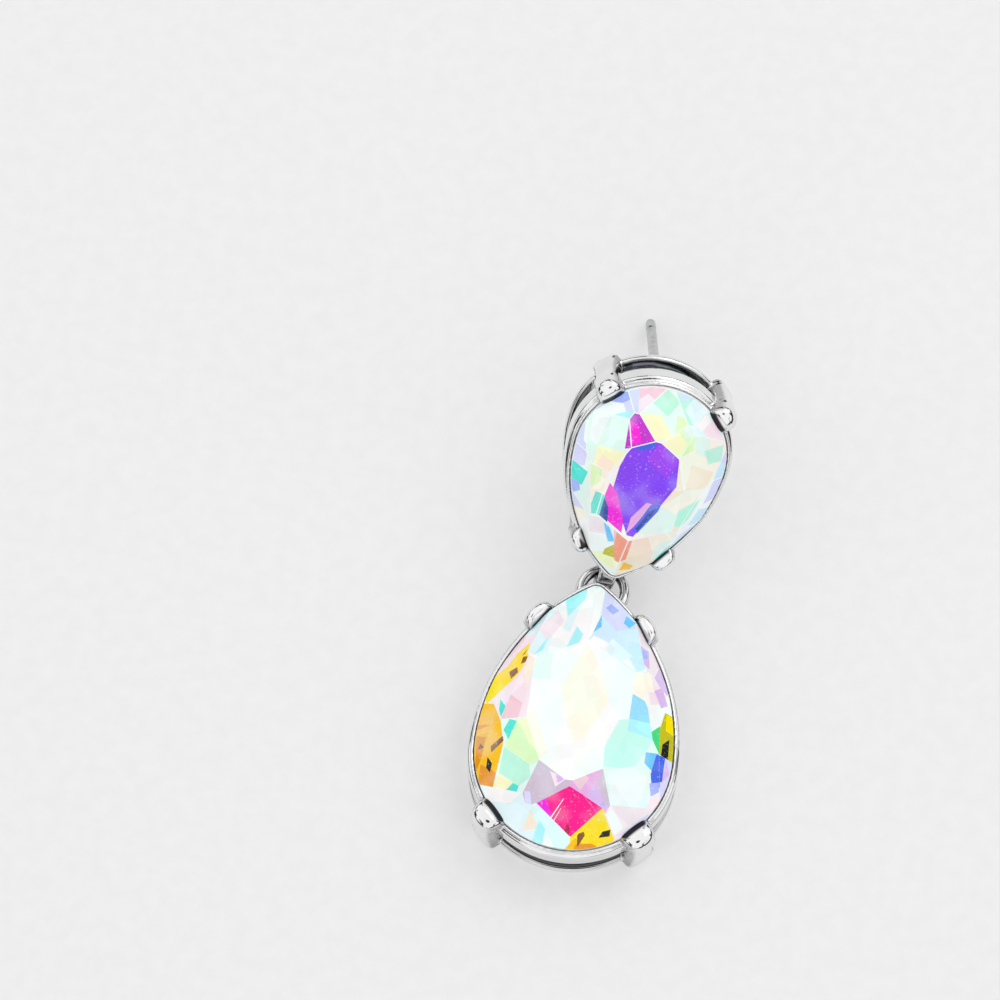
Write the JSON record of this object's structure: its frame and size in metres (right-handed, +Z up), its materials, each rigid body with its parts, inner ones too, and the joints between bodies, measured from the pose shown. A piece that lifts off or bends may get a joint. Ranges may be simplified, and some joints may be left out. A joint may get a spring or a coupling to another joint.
{
  "type": "teardrop earring",
  "caption": "Drop earring for a pierced ear: a pear-cut stone stud with an ear post, and a larger pear-cut stone linked below it, each in a cast open claw setting.",
  "frame": {"origin": "on the surface that the earring lies on, under the middle of its bounding box", "axes": "+Z up from the surface, +Y along the drop from its round end towards the stud, +X to the right seen from above"},
  "size_m": [0.0146, 0.039, 0.0148],
  "materials": {
    "drop_crystal": "polished, with an iridescent coating",
    "stud_crystal": "polished, with an iridescent coating",
    "rhodium_plate": "bright polished plating on a casting"
  },
  "bodies": {
    "root": {"drop_stone": "drop_crystal", "drop_setting": "rhodium_plate", "stud_stone": "stud_crystal", "stud_setting": "rhodium_plate"}
  },
  "joints": []
}
